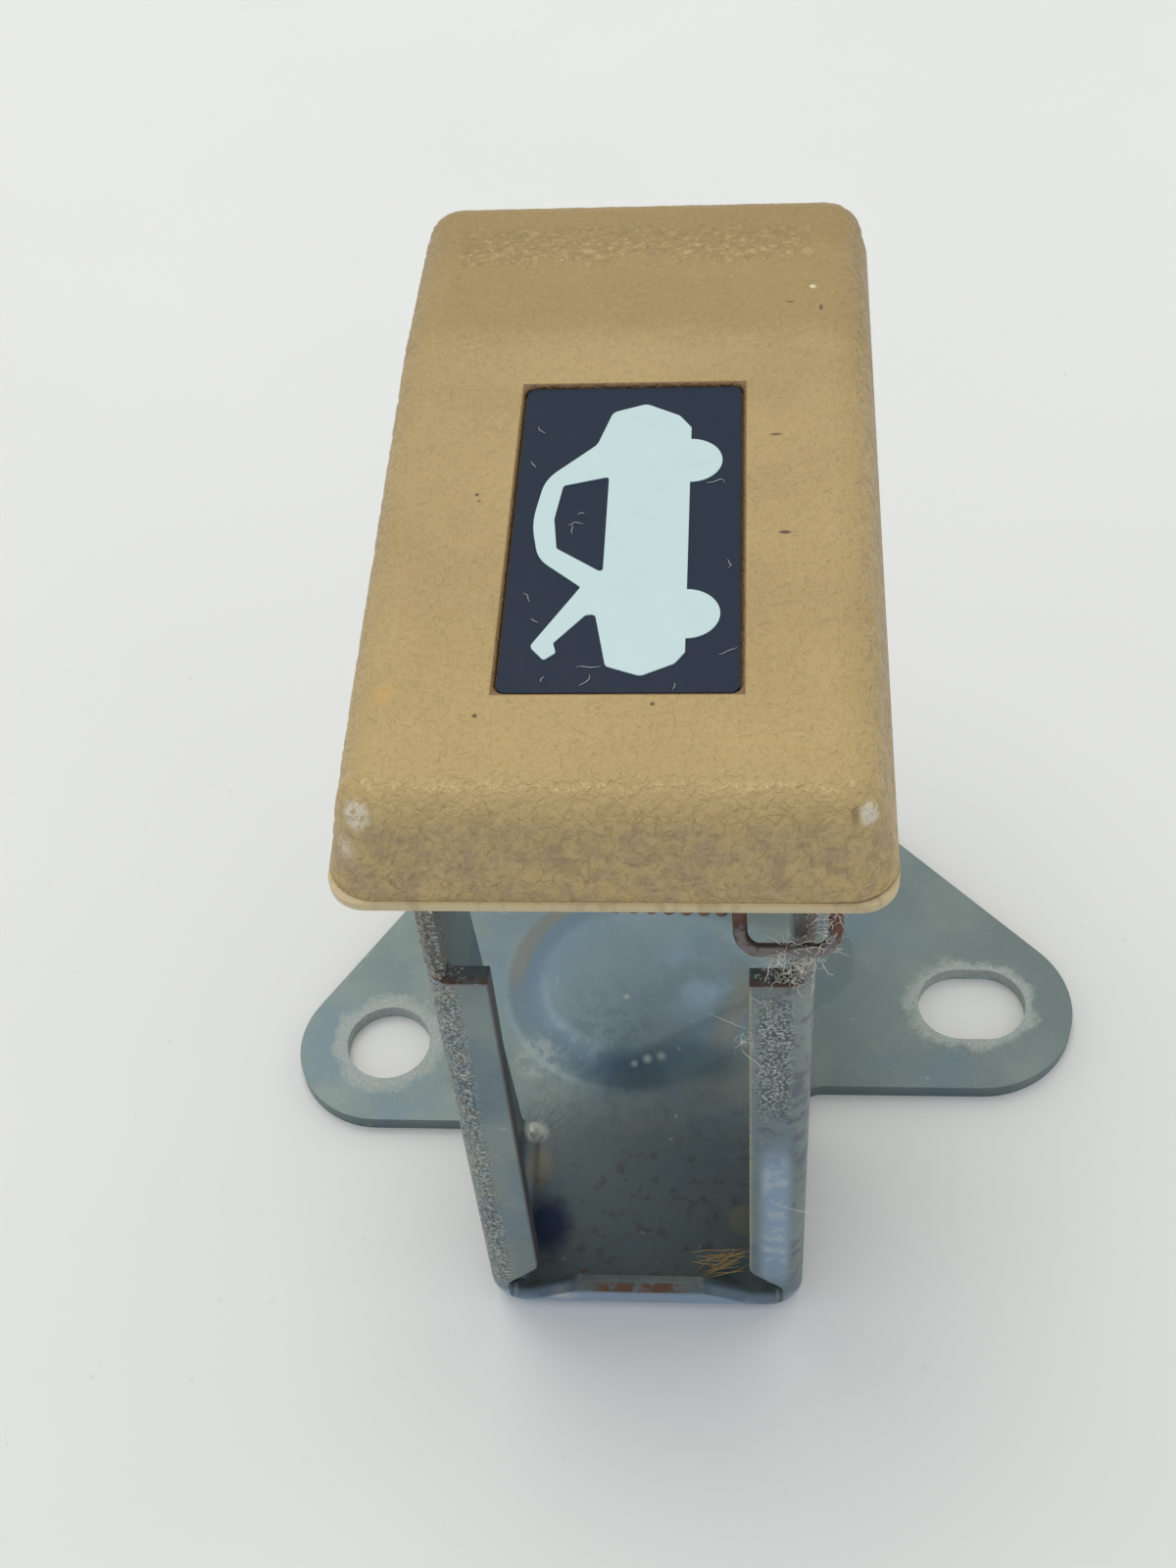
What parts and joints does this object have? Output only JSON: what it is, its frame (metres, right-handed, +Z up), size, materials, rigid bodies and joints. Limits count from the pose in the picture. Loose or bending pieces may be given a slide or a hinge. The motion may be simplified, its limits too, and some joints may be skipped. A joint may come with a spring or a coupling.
{
  "type": "bonnet release lever",
  "caption": "Car bonnet release lever: moulded handle with a pictogram on a sprung steel lever, hinged between the arms of a stamped, zinc-plated bracket.",
  "frame": {"origin": "on the bracket's underside, midway between the two arms and straight below the hinge pin", "axes": "+X to the right along the hinge pin, +Y from the hinge towards the handle's free end, +Z up from the bracket's base to the handle"},
  "size_m": [0.0673, 0.0648, 0.0646],
  "materials": {
    "zinc_plate": "dull zinc plating, blue-grey, speckled with white oxide",
    "pin_steel": "plain steel",
    "nylon": "natural nylon",
    "lever_steel": "dull zinc plating",
    "screw_steel": "zinc plated",
    "spring_steel": "spring wire with a rust bloom",
    "cover_plastic": "tan, leather grain, semi-matt",
    "base_plastic": "tan, smooth, semi-matt",
    "label_navy": "dark navy, fine scratches",
    "label_pale": "pale blue-green print"
  },
  "bodies": {
    "bracket": {"bracket": "zinc_plate", "pivot_pin": "pin_steel", "return_spring": "spring_steel"},
    "handle": {"bush_left": "nylon", "bush_right": "nylon", "lever": "lever_steel", "handle_screws": "screw_steel", "return_spring_arm": "spring_steel", "handle_cover": "cover_plastic", "handle_base": "base_plastic", "label_plate": "label_navy", "pictogram": "label_pale"}
  },
  "joints": [
    {"name": "handle_pull", "type": "hinge", "parent": "bracket", "child": "handle", "pos_m": [0, 0, 0.054], "axis": [1, 0, 0], "range_deg": [0, 40], "stiffness_Nm_per_rad": 0.15, "springref_deg": -34.38}
  ]
}
